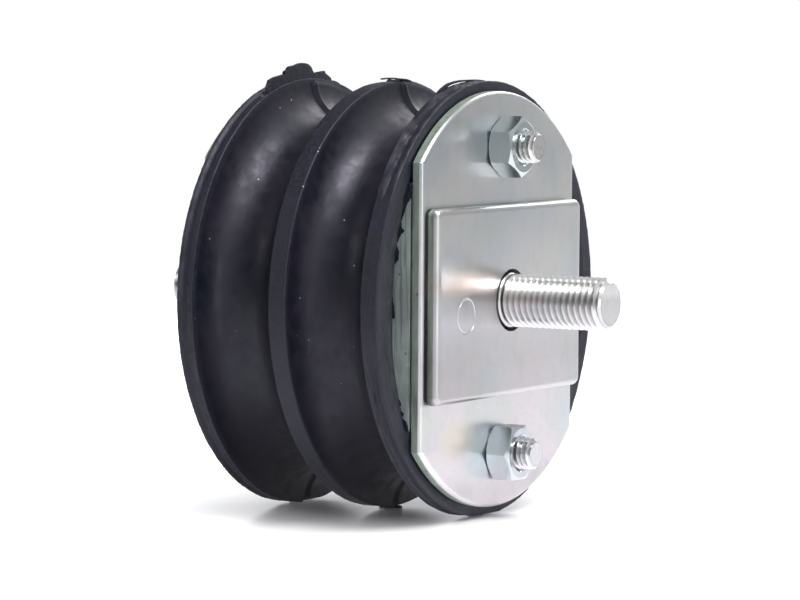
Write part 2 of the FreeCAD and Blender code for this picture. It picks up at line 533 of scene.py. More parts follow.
def zinc_material(name, base, roughness=0.29, sheared=False, worn=0.0, thread=None):
    """Zinc plating; thread is (height of its axis, root radius, crest radius)."""
    shader = Shader(name)
    shader.surface.inputs["Metallic"].default_value = 1.0
    place = shader.split(shader.place)
    away = shader.math("ABSOLUTE", shader.math("ADD", place[0], -MIDDLE))
    lower = shader.ranged(place[2], 12 * MM, -30 * MM, 0.15, 1.0)
    clouds = shader.noise(85, 1.0)
    pink_tint_and_floor_reflection = shader.noise(60, 1.0, place=shader.stretched(offset=(0.3, 0.1, 0.2)))
    patches = shader.noise(120, 1.0, place=shader.stretched((1, 1, 1.4), (0.1, 0.5, 0.4)))
    smudges = shader.noise(300, 2.0, 0.5, shader.stretched((1, 1.3, 0.7)))
    mottle = shader.noise(650, 3.0, 0.6, shader.stretched((1, 0.5, 1.5)))
    shade = shader.mixed(
        shader.ranged(clouds, 0.30, 0.70),
        tinted(base, 0.95, 0.99, 1.01), tinted(base, 1.01, 0.99, 0.95))
    for share, tint in (
            (shader.ranged(patches, 0.42, 0.75, 0.0, 0.9), tinted(base, 0.95, 1.0, 0.96)),
            # Pink tint, made stronger towards the bottom as a painted reflection of the floor
            (shader.times(shader.ranged(pink_tint_and_floor_reflection, 0.34, 0.56), lower), tinted(base, 1.09, 1.0, 1.03)),
            (shader.ranged(smudges, 0.45, 0.80, 0.0, 0.22), tinted(base, 0.74)),
            (shader.times(shader.ranged(mottle, 0.50, 0.72, 0.0, 0.34), lower),
             tinted(base, 0.82, 0.85, 0.98)),
            (shader.times(shader.specks(300, 0.07, 0.06), 0.6), (0.97, 0.97, 0.97, 1))):
        shade = shader.mixed(share, shade, tint)
    # Below 0.274 the denoiser treats the metal as a mirror, so plates stay above it
    rough = shader.ranged(clouds, 0.3, 0.7, roughness - 0.005, roughness + 0.05)
    normal = shader.bump(clouds, 0.10, 0.2 * MM)
    if sheared:
        turned = shader.math("ABSOLUTE", shader.split(shader.coordinates.outputs["Normal"])[0])
        side = shader.ranged(shader.math("SUBTRACT", 1.0, turned), 0.75, 0.98)
        streaks = shader.noise(330, 4.0, 0.6, shader.stretched((1.6, 1.6, 0.5)))
        shade = shader.mixed(side, shade, sheared_sides(shader, base, away, streaks))
        # Painted shade: near-black lines in the joints where the plates meet
        for joint, way in ((BONDED_HIGH.x, -1), (SEAT_LOW.x, 1)):
            edges = sorted(joint - MIDDLE + way * depth * MM for depth in (0.02, 0.44))
            painted_joint_shade = shader.between(away, *edges)
            shade = shader.mixed(shader.times(painted_joint_shade, 0.9), shade, (0.03, 0.03, 0.03, 1))
        rough = shader.math("ADD", rough, shader.times(side, 0.34))
        normal = shader.bump(shader.times(streaks, side), 0.35, 0.1 * MM, normal)
        shade = painted_plate_light(shader, base, place, shade)
    if thread:
        shade = painted_thread_shade(shader, base, place, away, thread, shade)
    if worn:
        rubbed = shader.ranged(shader.noise(1300, 2.0, 0.6), 0.52, 0.75, 0.0, worn)
        shade = shader.mixed(rubbed, shade, tinted(base, 0.45))
    return shader.dressed(shade, rough, normal)


def rubber_material(name, base, matte=False):
    """Satin in the grooves and faded on the rims; matte is faded all over."""
    shader = Shader(name)
    surface = shader.surface
    surface.inputs["Specular IOR Level"].default_value = 0.50
    surface.inputs["Specular Tint"].default_value = (0.88, 0.85, 1.0, 1.0)
    _, y, z = shader.split(shader.place)
    rim = 1.0 if matte else shader.ranged(shader.radius(y, z), 39.2 * MM, 40.4 * MM)
    clouds = shader.noise(90, 3.0)
    mottle = shader.noise(1300, 5.0, 0.65)
    shade = shader.mixed(
        shader.ranged(clouds, 0.38, 0.62),
        tinted(base, 0.80, 1.0, 1.0), tinted(base, 1.30, 0.98, 1.10))
    faded = shader.mixed(
        shader.ranged(mottle, 0.35, 0.70),
        tinted(base, 1.5, 1.5, 1.4), tinted(base, 2.8, 2.8, 2.3))
    shade = shader.mixed(rim, shade, faded)
    # Lighter lap strips on the end rims, with painted highlights along their ridge crests
    laps = shader.made("ShaderNodeAttribute", {}, "Fac", attribute_name="lap")
    shade = shader.mixed(laps, shade, tinted(base, 9.0, 7.8, 5.4))
    bits = shader.specks(240, 0.055, 0.13, shader.stretched(offset=(0.02, 0.05, 0)))
    dust = shader.math("MAXIMUM", shader.specks(520, 0.10, 0.11), bits)
    dust = shader.times(dust, shader.ranged(z, -12 * MM, 18 * MM, 0.25, 1.0))
    shade = shader.mixed(dust, shade, (0.42, 0.42, 0.46, 1))
    scuffs = shader.ranged(shader.noise(330, 3.0, 0.6), 0.35, 0.75, -0.04, 0.14)
    satin = shader.math("ADD", shader.ranged(clouds, 0.3, 0.7, 0.38, 0.48), scuffs)
    coarse = shader.ranged(mottle, 0.3, 0.75, 0.46, 0.64)
    rough = shader.blended(rim, satin, coarse)
    flow = shader.noise(45, 4.0, 0.6, shader.stretched((14, 2, 2)))
    normal = shader.bump(flow, 0.25, 0.25 * MM)
    normal = shader.bump(shader.noise(3200, 4.0, 0.6), 0.20, 0.05 * MM, normal)
    normal = shader.bump(shader.times(mottle, rim), 0.55, 0.15 * MM, normal)
    return shader.dressed(shade, rough, normal)


# The rubber moulding

COLUMNS = 432   # Points round the moulding
COLUMN = 0.833  # Degrees from one to the next
SEAM = 1.667    # Degrees from the top and the bottom to the seams, two columns


def arc(start, end, bottom, steps):
    """Points on the circle through (x, r) start and end with its lowest radius bottom."""
    (x0, r0), (x1, r1) = start, end
    x2, r2 = (x0 + x1) / 2, bottom
    rows = np.array([[2 * (x1 - x0), 2 * (r1 - r0)], [2 * (x2 - x0), 2 * (r2 - r0)]])
    sums = np.array([x ** 2 + r ** 2 - x0 ** 2 - r0 ** 2 for x, r in ((x1, r1), (x2, r2))])
    cx, cr = np.linalg.solve(rows, sums)
    size = math.hypot(x0 - cx, r0 - cr)
    first, last = math.atan2(r0 - cr, x0 - cx), math.atan2(r1 - cr, x1 - cx)
    if last < first:
        last += math.tau
    angles = np.linspace(first, last, steps + 1)[1:-1]
    return [(cx + size * math.cos(a), cr + size * math.sin(a)) for a in angles]


def rim_corner(x, radius, way, soft=0.22 * MM):
    """A rim's softened edge, met from the groove when way is 1 and left when it is -1."""
    middle = (x + way * 0.3 * soft, radius - 0.3 * soft)
    turn = [(x, radius - soft), middle, (x + way * soft, radius)]
    return turn if way > 0 else turn[::-1]


def bobbin_outline(sizes):
    """The front half's outline from the middle to the axis, each as (from middle, radius)."""
    end = RUBBER_HIGH.x - MIDDLE
    rim = end - sizes.rim_width
    edge = sizes.middle_rim_width / 2
    high = sizes.middle_rim_radius
    outline = [(x * edge, high) for x in (0.0, 0.2, 0.4, 0.6, 0.8)]
    outline += rim_corner(edge, high, -1)
    outline += arc((edge, high), (rim, END_R), sizes.neck_radius, 52)
    outline += rim_corner(rim, END_R, 1)
    outline += [(x, END_R) for x in np.linspace(rim + 0.4 * MM, end - 0.35 * MM, 15)]
    outline += rim_corner(end, END_R, -1)
    radii = [40.2, 39.4, 38.6, 37.9, 37.5, 37.0, 36.5, 36.0, 35.5, 35.0, 34.5, 34.0, 33.0, 32.0]
    outline += [(end, radius * MM) for radius in radii + [26.0, 16.0, 0.0]]
    return outline


def pressed_end(x, radius, angle):
    """Press the plain end into the bonded plate's place and the dishes beside its flats."""
    end, back = RUBBER_HIGH.x - MIDDLE, BONDED_LOW.x - MIDDLE
    land = 37.5 * MM
    plate = np.minimum(BONDED_R, FLAT / np.maximum(np.abs(np.cos(angle)), 1e-6))
    share = np.clip((land - radius) / (3.5 * MM), 0, 1)
    inner = land + (plate - land) * share
    low = np.where(np.sin(angle) < 0, 0.55 * MM, 0.1 * MM)
    cone = back - low * smoothstep(0, 12 * MM, np.abs(inner * np.sin(angle)))
    cone = cone + (inner - FLAT) * (end - back) / (land - FLAT)
    cone = np.minimum(cone, end)
    dished = smoothstep(FLAT - 0.5 * MM, FLAT, np.abs(inner * np.cos(angle)))
    deep = end + (cone - end) * dished
    touching = plate - 0.05 * MM
    new_radius, new_x = radius.copy(), x.copy()
    face = (x > end - 1e-6) & (radius < land + 1e-6)
    new_radius[face], new_x[face] = inner[face], deep[face]
    top = face & (radius < 33.5 * MM)
    new_radius[top] = touching[top]
    bottom = face & (radius < 32.5 * MM)
    new_x[bottom] = back
    new_radius[bottom] = (touching * radius / (32.0 * MM))[bottom]
    return new_x, new_radius


def lap_marks(x, height_angle, sizes, wobble):
    """Dents and laps round an end rim's band: x is from the middle, in metres. Also gives where the
    rubber is lightened: the lap strips, with painted highlights on their ridge crests.
    """
    rim = RUBBER_HIGH.x - MIDDLE - sizes.rim_width
    across = (x - rim) / sizes.rim_width + wobble * 0.05
    upper = smoothstep(26, 38, height_angle)
    lower = smoothstep(-6, -20, height_angle)
    strength = np.maximum(upper, lower) * 0.85 + 0.15
    dent = smoothstep(0.34, 0.42, across) * (1 - smoothstep(0.60, 0.84, across))
    lap = smoothstep(30.5, 32.5, height_angle) * (1 - smoothstep(70, 84, height_angle))
    lap = lap * (1 - smoothstep(0.34, 0.44, across))
    second = lower * smoothstep(0.10, 0.16, across) * (1 - smoothstep(0.18, 0.30, across))
    height = sizes.lap_depth * (0.8 * lap - dent * strength - 0.4 * second)
    # Where the rubber is lightened: the lap strips, with painted highlights on the ridge crests
    crest = np.maximum(lap * smoothstep(-0.1, 0.1, across), 0.6 * second)
    crest = np.maximum(crest, 0.7 * strength * smoothstep(0.60, 0.84, across) * upper)
    return height, crest * smoothstep(-0.5, 0.3, wobble)


def rubber_moulding(sizes):
    half = bobbin_outline(sizes)
    whole = [(MIDDLE - x, radius) for x, radius in half[:0:-1]]
    whole += [(MIDDLE + x, radius) for x, radius in half]
    piece = spun("rubber_moulding", whole, COLUMNS)
    points = points_of(piece)
    x, y, z = points.T
    side = np.where(x < MIDDLE, -1.0, 1.0)
    away, angle, radius = np.abs(x - MIDDLE), np.arctan2(z, y * side), np.hypot(y, z)
    end = RUBBER_HIGH.x - MIDDLE
    band = (radius > sizes.middle_rim_radius - 0.3 * MM) & (away < end - 1e-6)
    away, radius = pressed_end(away, radius, angle)
    coarse = grain(points, 420)
    fine = grain(points, 1500, 7.0)
    height_angle = np.degrees(np.arctan2(z, -y * side))
    end_band = band & (away > end - sizes.rim_width - 0.1 * MM)
    laps, crest = lap_marks(away, height_angle, sizes, coarse)
    radius[end_band] += laps[end_band]
    # The lap attribute lightens the lap strips and paints highlights on their ridge crests
    lap_tone_and_highlight = piece.data.attributes.new("lap", "FLOAT", "POINT")
    lap_tone_and_highlight.data.foreach_set("value", np.where(end_band, crest, 0.0))
    radius[band] += (0.06 * coarse * MM + 0.05 * fine * MM)[band]
    edge = end_band & (radius > END_R - 0.4 * MM)
    away[edge] += (0.07 * fine * MM)[edge]
    from_top = np.degrees(np.arctan2(y, z)) - SEAM
    from_low = np.degrees(np.arctan2(-y, -z)) - SEAM
    seam_height = np.zeros_like(radius)
    for offset in (from_top, from_low):
        seam_height[np.abs(offset) < 0.3] = 0.26
        seam_height[np.abs(offset + COLUMN) < 0.3] = -0.28
    seam_height += seam_height * 0.5 * coarse
    far_half = (from_top > -0.3) & (from_top < 34)
    step = np.where(far_half, 1 - smoothstep(5, 34, from_top), 0) * sizes.seam_step
    lift = seam_height * MM + step + 0.03 * coarse * MM
    middle_band = band & (away < sizes.middle_rim_width)
    radius[middle_band] += (step + np.maximum(seam_height, 0) * 0.5 * MM)[middle_band]
    groove = ~band & (radius > sizes.neck_radius - 0.2 * MM) & (away < end - sizes.rim_width)
    half_width = (end - sizes.rim_width - sizes.middle_rim_width / 2) / 2
    depth = (sizes.middle_rim_radius + END_R) / 2 - sizes.neck_radius
    centre_away = sizes.middle_rim_width / 2 + half_width
    centre_radius = sizes.neck_radius + (half_width ** 2 + depth ** 2) / (2 * depth)
    to_away, to_radius = centre_away - away, centre_radius - radius
    length = np.hypot(to_away, to_radius)
    away[groove] += (lift * to_away / length)[groove]
    radius[groove] += (lift * to_radius / length)[groove]
    x = MIDDLE + side * away
    y, z = side * radius * np.cos(angle), radius * np.sin(angle)
    z = np.maximum(z, FLOOR)
    set_points(piece, np.column_stack([x, y, z]))
    smooth(piece, 48)
    return piece


# Flash and rubber lips

FLAP = [(-24, 41.2), (-20, 42.6), (-19.3, 43.2), (-16.9, 43.2), (-15, 43.05), (-12.6, 42.9),
        (-10.2, 42.75), (-9.7, 42.8), (-12, 43.2), (-11.8, 43.4), (-10.5, 43.5), (-10, 43.85),
        (-9, 43.97), (-7.1, 43.92), (-5.2, 44.1), (-3.1, 44.12), (-1.5, 43.9), (-0.5, 43.6),
        (0.8, 43.05), (1.0, 42.7), (1.6, 42.2), (2.9, 41.9), (3.9, 42.35), (5.4, 42.5),
        (7.1, 42.8), (7.5, 42.35), (10.1, 41.8), (10.7, 41.45), (11.4, 41.0), (12.2, 41.5),
        (13.3, 41.5), (15, 41.45), (15.8, 40.9), (18.4, 40.9), (21, 40.8)]
MIDDLE_FIN = [(-9.0, 41.75), (-7.2, 41.66), (-5.3, 41.52), (-2.7, 41.35), (-0.2, 41.2),
              (3.0, 41.1), (6.0, 40.9)]
FRONT_FIN = [(-23.5, 40.95), (-21.3, 41.25), (-18.4, 41.55), (-15.6, 41.75), (-13.4, 41.8),
             (-10.8, 41.65), (-8.1, 41.5), (-5.4, 41.3), (-2.7, 41.2), (0.0, 41.15), (3.7, 41.05)]


def rounder(points, steps):
    """Fill each run between the points with steps, so that the edge can be worn."""
    filled = []
    for (a0, r0), (a1, r1) in zip(points, points[1:]):
        for k in range(steps):
            t = k / steps
            filled.append((a0 + (a1 - a0) * t, r0 + (r1 - r0) * t))
    return filled + [points[-1]]


def extruded(step):
    bpy.ops.mesh.extrude_region_move(TRANSFORM_OT_translate={"value": step})


def ring_point(x, angle, radius):
    """A point round the stud axis: degrees from the top, and a radius in millimetres."""
    turned = math.radians(angle)
    return (x, radius * MM * math.sin(turned), radius * MM * math.cos(turned))


def sheet_done(piece, angle):
    edit_mode()
    tidy_shell()
    smooth(piece, angle)
    return piece


def flash_sheet(name, outline, foot, x, thickness, rows, seed):
    """A thin sheet of flash standing on a rim, from its outer line down to the foot radius."""
    line = rounder(outline, 3)
    piece = drawn(name, [ring_point(x, angle, radius) for angle, radius in line])
    edit_all()
    for _ in range(rows):
        extruded((0, 0, -0.3 * MM))
    object_mode()
    points = points_of(piece)
    count = len(line)
    for row in range(rows + 1):
        for k, (angle, radius) in enumerate(line):
            ends = smoothstep(0, 0.22 * count, min(k, count - 1 - k))
            height = radius + (foot - radius) * (0.45 + 0.55 * ends) * row / rows
            points[row * count + k] = ring_point(x, angle, height)
    ripple = grain(points, 700, seed)
    points[:, 0] += 0.12 * MM * ripple
    set_points(piece, points)
    walled(piece, thickness * MM)
    softened(piece, thickness * 0.3 * MM, 50)
    return sheet_done(piece, 60)


def fin_strip(name, line, x, width, thickness, seed):
    """A thin strip of flash that follows a rim's edge and lifts off it."""
    fine_line = rounder(line, 4)
    piece = drawn(name, [ring_point(x, angle, radius) for angle, radius in fine_line])
    edit_all()
    extruded((width * MM, 0, 0))
    object_mode()
    points = points_of(piece)
    points[:, 2] += 0.05 * MM * grain(points, 900, seed)
    points[:, 0] += 0.10 * MM * grain(points, 600, seed + 3)
    set_points(piece, points)
    walled(piece, thickness * MM)
    return sheet_done(piece, 60)


LIP = [(-22.6, -5.3), (-21.0, -5.75), (-20.2, -6.7), (-19.5, -6.3), (-18.6, -7.1), (-17.6, -7.0),
       (-16.5, -7.45), (-14.9, -7.8), (-13.2, -8.2), (-12.3, -8.85), (-10.8, -8.8), (-8.8, -9.0),
       (-2.2, -9.1), (-2.0, -8.25), (0.2, -8.5), (2.0, -8.85), (4.2, -9.2), (6.2, -9.0),
       (7.8, -8.6), (8.7, -7.5), (10.5, -7.7), (11.6, -8.1), (13.4, -7.1), (14.0, -6.4),
       (14.6, -7.0), (15.8, -7.1), (17.2, -6.5), (19.0, -5.8), (20.0, -5.0), (22.6, -4.85)]


def rubber_lip(name, seed):
    """The thin ragged edge of rubber that has crept over the bonded plate's left flat."""
    heights = np.linspace(LIP[0][0], LIP[-1][0], 300)
    rows = 7
    deselect()
    bpy.ops.mesh.primitive_grid_add(x_subdivisions=rows, y_subdivisions=len(heights) - 1, size=1)
    piece = named(name)
    settle()
    points = points_of(piece)
    across = points[:, 0] + 0.5
    z = heights[0] + (points[:, 1] + 0.5) * (heights[-1] - heights[0])
    edge = np.interp(z, [p[0] for p in LIP], [p[1] for p in LIP])
    spots = np.column_stack([z, np.zeros_like(z), np.zeros_like(z)])
    edge = edge + 0.16 * grain(spots, 1.1, seed) + 0.12 * grain(spots, 3.2, seed + 5)
    back = np.minimum(-9.3, edge - 0.2)
    x = back + (edge - back) * across
    y = np.full_like(x, -(FLAT / MM + 0.02)) - 0.05 * grain(np.column_stack([x, z, x]), 2.0, seed)
    y -= 0.16 * (1 - across)
    set_points(piece, np.column_stack([x, y, z]) * MM)
    walled(piece, 0.22 * MM)
    return sheet_done(piece, 50)


def nib(name, x, width, y, drop, seed):
    """A small tongue of flash at a rim's lowest point; all sizes in millimetres."""
    rim = -41.0
    piece = block(name, (x * MM, y * MM, rim * MM), (width * MM, 0.9 * MM, 0.6 * MM))
    edit_all()
    bpy.ops.mesh.subdivide(number_cuts=7)
    object_mode()
    points = points_of(piece)
    low = points[:, 2] < (rim - 0.2) * MM
    points[low, 2] = (rim - drop) * MM
    points[low, 1] = y * MM + (points[low, 1] - y * MM) * 0.4
    points += 0.12 * MM * np.column_stack([grain(points, 900, seed + k) for k in range(3)])
    set_points(piece, points)
    smooth(piece, 60)
    return piece


def merged(name, pieces):
    deselect()
    for piece in pieces:
        piece.select_set(True)
    bpy.context.view_layer.objects.active = pieces[0]
    bpy.ops.object.join()
    return named(name)


# Plates

def flatted_disc(name, radius, start, end, edge_round, profile=0.5):
    """A round plate with flats at its sides and a rounded edge on its outer face."""
    piece = bar(name, radius, start, end, vertices=256)
    edit_mode()
    for side in (1, -1):
        cut_off((0, side * FLAT, 0), (0, side, 0))
    object_mode()
    shaped_edge(piece, end, 1, edge_round, profile)
    return piece


def shaped_edge(piece, face, way, width, profile=0.5):
    """Shape the outline of the face at x: profile 0.5 is a round, 0 is a square notch."""
    select_where(piece, lambda centre, normal: normal.x * way > 0.9 and abs(centre.x - face) < 1e-5)
    bpy.ops.mesh.region_to_loop()
    bpy.ops.mesh.bevel(
        offset=width, segments=6 if profile else 2, profile=profile, affect="EDGES",
        clamp_overlap=True)
    object_mode()


def holed(piece, radius, start, end, heights):
    for height in heights:
        cutter = bar("cutter", radius, start - MM, end + MM, 64, height)
        piece = combined(piece, cutter, "DIFFERENCE")
    return piece


def bonded_plate(sizes):
    start, end = BONDED_LOW.x, BONDED_HIGH.x
    piece = flatted_disc("front_bonded_steel", BONDED_R, start, end, 0.45 * MM, 0.0)
    return holed(piece, 9.1 * MM, start, end, [0.0])


def clamp_plate(sizes):
    start, end = CLAMP_LOW.x, CLAMP_HIGH.x
    piece = flatted_disc("front_clamp_steel", CLAMP_HIGH.z, start, end, sizes.edge_round)
    piece = holed(piece, 5.5 * MM, start, end, [0.0])
    return holed(piece, 3.3 * MM, start, end, [BOLT_HEIGHT, -BOLT_HEIGHT])


def stud_plate(sizes):
    size = SEAT_HIGH - SEAT_LOW
    piece = block("front_seat_steel", (SEAT_LOW + SEAT_HIGH) / 2, size)
    select_none("EDGE")
    for edge in piece.data.edges:
        first, second = (piece.data.vertices[v].co for v in edge.vertices)
        edge.select = abs(first.x - second.x) > size.x * 0.9
    edit_mode()
    bpy.ops.mesh.bevel(offset=sizes.corner_radius, segments=10, affect="EDGES")
    object_mode()
    shaped_edge(piece, SEAT_HIGH.x, 1, sizes.seat_round)
    shaped_edge(piece, SEAT_LOW.x, -1, 0.45 * MM, 0.0)
    piece = holed(piece, 5.9 * MM, SEAT_LOW.x, SEAT_HIGH.x, [0.0])
    deselect()
    bpy.ops.mesh.primitive_torus_add(
        major_radius=sizes.ring_mark_radius, minor_radius=0.30 * MM, major_segments=96,
        minor_segments=16, location=(0.18 * MM, -17.2 * MM, -2.0 * MM), rotation=ALONG_X)
    ring = named("ring")
    settle()
    return combined(piece, ring, "DIFFERENCE")


# Studs, bolts and nuts

THREAD_DEPTH = 0.6134  # Of the pitch
TAN_30 = 0.577


def threaded(name, pitch, crest, start, end):
    """A right-hand thread along X, cut square at both ends."""
    root = crest - THREAD_DEPTH * pitch
    turns = math.ceil((end - start) / pitch) + 2
    first = start - 1.5 * pitch
    outline = [(0.0, root), (0.22, root), (0.53, crest), (0.68, crest), (1.0, root)]
    piece = drawn(name, [(first + share * pitch, 0, radius) for share, radius in outline])
    modified(
        piece, "SCREW", axis="X", angle=math.tau, screw_offset=pitch, iterations=turns, steps=56,
        render_steps=56, use_merge_vertices=True, merge_threshold=1e-6)
    edit_all()
    bpy.ops.mesh.remove_doubles(threshold=2e-6)
    for place, way in ((start, -1), (end, 1)):
        cut_off((place, 0, 0), (way, 0, 0))
    tidy_shell()
    return piece


def chamfered(piece, crest, start, end, chamfer):
    """Turn the thread's end down to a chamfer."""
    over = crest + 0.02 * MM
    envelope = spun("envelope", [
        (start - MM, 0), (start - MM, over), (end - chamfer, over), (end, over - chamfer),
        (end, 0)], 96)
    return combined(piece, envelope, "INTERSECT")


def stud(sizes):
    crest, tip = 5.0 * MM, STUD_HIGH.x
    piece = threaded("front_stud_thread", sizes.stud_pitch, crest, 0.58 * MM, tip + 0.5 * MM)
    piece = chamfered(piece, crest, 0.0, tip, 1.0 * MM)
    head_r, neck_r, head_x = STUD_HIGH.z, 5.25 * MM, BONDED_HIGH.x - 0.05 * MM
    shank = spun("shank", [
        (STUD_LOW.x, 0), (STUD_LOW.x, head_r), (head_x, head_r), (head_x, neck_r),
        (-0.25 * MM, neck_r), (0.05 * MM, 5.15 * MM),
        (0.30 * MM, 4.85 * MM), (0.42 * MM, 4.42 * MM), (0.80 * MM, 4.40 * MM),
        (1.30 * MM, 4.0 * MM), (1.6 * MM, 3.6 * MM), (1.6 * MM, 0)], 96)
    piece = combined(piece, shank, "UNION")
    points = points_of(piece)
    dents = grain(points, 900, 11.0)
    worn = (np.hypot(points[:, 1], points[:, 2]) > 4.8 * MM) & (points[:, 0] > 1.3 * MM)
    points[worn, 1:] *= (1 - 0.008 * np.clip(dents[worn], 0, 1))[:, None]
    set_points(piece, points)
    smooth(piece, 32)
    return piece


def bolt(sizes):
    crest, back, tip = 2.98 * MM, BONDED_LOW.x, BOLT_HIGH.x
    piece = threaded("bolt", sizes.bolt_pitch, crest, back + 1.5 * MM, tip + 0.5 * MM)
    piece = chamfered(piece, crest, back, tip, 0.7 * MM)
    head_r, head_x, neck_x = 4.45 * MM, back + 1.8 * MM, back + 2.2 * MM
    head = spun("head", [
        (back, 0), (back, head_r), (head_x, head_r), (head_x, 2.6 * MM), (neck_x, 2.3 * MM),
        (neck_x, 0)], 72)
    return combined(piece, head, "UNION")


def worn_bolt(piece, name, height, seed):
    """A copy at its height, its thread a little bruised."""
    copy = copied(piece, name)
    points = points_of(copy)
    bruise = np.clip(grain(points, 1100, seed), 0.1, 1) - 0.1
    proud = (points[:, 0] > NUT_HIGH.x) & (np.hypot(points[:, 1], points[:, 2]) > 2.5 * MM)
    points[proud, 0] += (0.10 * MM * bruise * np.sign(grain(points, 500, seed + 2)))[proud]
    points[proud, 1:] *= (1 - 0.02 * bruise[proud])[:, None]
    set_points(copy, points)
    lifted(copy, height)
    smooth(copy, 32)
    return copy


def nut(turned):
    """A hexagon nut; its corners point up when it is turned."""
    flats, start, end = 10.0 * MM, NUT_LOW.x, NUT_HIGH.x
    corner = flats / 2 / math.cos(math.radians(30))
    piece = bar("nut", corner, start, end, vertices=6)
    if turned:
        edit_all()
        bpy.ops.transform.rotate(value=math.radians(30), orient_axis="X", center_override=(0, 0, 0))
        object_mode()
    face, out = 4.7 * MM, 0.4 * MM
    slope = (corner - face) * math.tan(math.radians(30)) + out * TAN_30
    envelope = spun("envelope", [
        (start, 0), (start, face), (start + slope, corner + out), (end - slope, corner + out),
        (end, face), (end, 0)], 120)
    piece = combined(piece, envelope, "INTERSECT")
    bore_r, mouth_r = 3.02 * MM, 3.67 * MM
    bore = spun("bore", [
        (start - MM, 0), (start - MM, bore_r), (end - 0.55 * MM, bore_r),
        (end + 0.1 * MM, mouth_r), (end + MM, mouth_r), (end + MM, 0)], 72)
    piece = combined(piece, bore, "DIFFERENCE")
    softened(piece, 0.10 * MM, 24)
    edit_mode()
    bpy.ops.mesh.select_mode(type="VERT")
    bpy.ops.mesh.select_all(action="SELECT")
    bpy.ops.mesh.remove_doubles(threshold=0.02 * MM)
    tidy_shell()
    smooth(piece, 30)
    weighted(piece)
    return piece


# Operators

class MOUNT_OT_rubber(bpy.types.Operator):
    """Model the rubber moulding, its flash and its ragged lips"""
    bl_idname = "mount.rubber"
    bl_label = "Rubber Moulding"

    def execute(self, context):
        sizes = context.scene.mount_rubber
        satin = rubber_material("rubber", sizes.colour)
        matte = rubber_material("rubber_flash", sizes.colour, matte=True)
        body = rubber_moulding(sizes)
        finish_piece(body, satin, "rubber", "rubber_body")
        rear_edge = RUBBER_LOW.x + sizes.rim_width
        flash = [flash_sheet("rear_rim_flash", FLAP, 39.4, rear_edge - 0.52 * MM, 0.8, 5, 3.0)]
        middle_edge = MIDDLE + sizes.middle_rim_width / 2
        flash.append(
            fin_strip("middle_rim_flash", MIDDLE_FIN, middle_edge - 0.4 * MM, 0.5, 0.26, 5.0))
        front_edge = RUBBER_HIGH.x - sizes.rim_width
        flash.append(
            fin_strip("front_rim_flash", FRONT_FIN, front_edge - 0.1 * MM, 0.8, 0.32, 9.0))
        flash.append(merged("bottom_flash", [
            nib("nib", front_edge / MM + 0.9, 2.6, 0.0, 0.28, 21.0),
            nib("nib", MIDDLE / MM, 4.6, 0.5, 0.22, 24.0),
            nib("nib", rear_edge / MM - 1.7, 2.4, -2.0, 0.15, 27.0)]))
        left = rubber_lip("front_left_lip", 31.0)
        right = rubber_lip("front_right_lip", 47.0)
        choose(right)
        edit_all()
        bpy.ops.transform.resize(value=(1, -1, -1), center_override=(0, 0, 0))
        tidy_shell()
        for piece in flash + [at_rear(left), left, at_rear(right), right]:
            finish_piece(piece, matte, "rubber")
        return {"FINISHED"}


class MOUNT_OT_plates(bpy.types.Operator):
    """Model the bonded plates, clamp plates and stud plates"""
    bl_idname = "mount.plates"
    bl_label = "Plates"

    def execute(self, context):
        sizes = context.scene.mount_plate
        zinc = zinc_material("zinc_plate", sizes.colour, sheared=True)
        for maker, node in (
                (bonded_plate, "bonded_plate"), (clamp_plate, "clamp_plate"),
                (stud_plate, "stud_plate")):
            front = maker(sizes)
            smooth(front, 30)
            weighted(front)
            finish_ends(front, zinc, "plate_zinc", node)
        return {"FINISHED"}


class MOUNT_OT_studs(bpy.types.Operator):
    """Model the fixing studs with their threads"""
    bl_idname = "mount.studs"
    bl_label = "Fixing Studs"

    def execute(self, context):
        base = context.scene.mount_plate.colour
        zinc = zinc_material("zinc_stud", tinted(base, 1.06)[:3], roughness=0.21, worn=0.15,
                             thread=(0.0, 4.30 * MM, 4.98 * MM))
        finish_ends(stud(context.scene.mount_thread), zinc, "stud_zinc", "stud")
        return {"FINISHED"}


class MOUNT_OT_bolts(bpy.types.Operator):
    """Model the clamp bolts"""
    bl_idname = "mount.bolts"
    bl_label = "Clamp Bolts"

    def execute(self, context):
        base = context.scene.mount_plate.colour
        zinc = zinc_material("zinc_bolt", base, roughness=0.22, worn=0.35,
                             thread=(BOLT_HEIGHT, 2.40 * MM, 2.95 * MM))
        pattern = bolt(context.scene.mount_thread)
        for level, height, seed in (("upper", BOLT_HEIGHT, 3.0), ("lower", -BOLT_HEIGHT, 8.0)):
            front = worn_bolt(pattern, "front_" + level + "_screw", height, seed)
            finish_ends(front, zinc, "bolt_zinc", level + "_bolt")
        bpy.data.objects.remove(pattern)
        return {"FINISHED"}


class MOUNT_OT_nuts(bpy.types.Operator):
    """Model the hexagon nuts"""
    bl_idname = "mount.nuts"
    bl_label = "Nuts"

    def execute(self, context):
        base = context.scene.mount_plate.colour
        zinc = zinc_material("zinc_nut", tinted(base, 0.84, 0.90, 0.92)[:3], roughness=0.21)
        for level, height, turned in (("upper", BOLT_HEIGHT, True), ("lower", -BOLT_HEIGHT, False)):
            front = lifted(nut(turned), height)
            front.name = "front_" + level + "_hexagon"
            finish_ends(front, zinc, "nut_zinc", level + "_nut")
        return {"FINISHED"}


# The stage

WHITE = (1.0, 1.0, 1.0, 1.0)


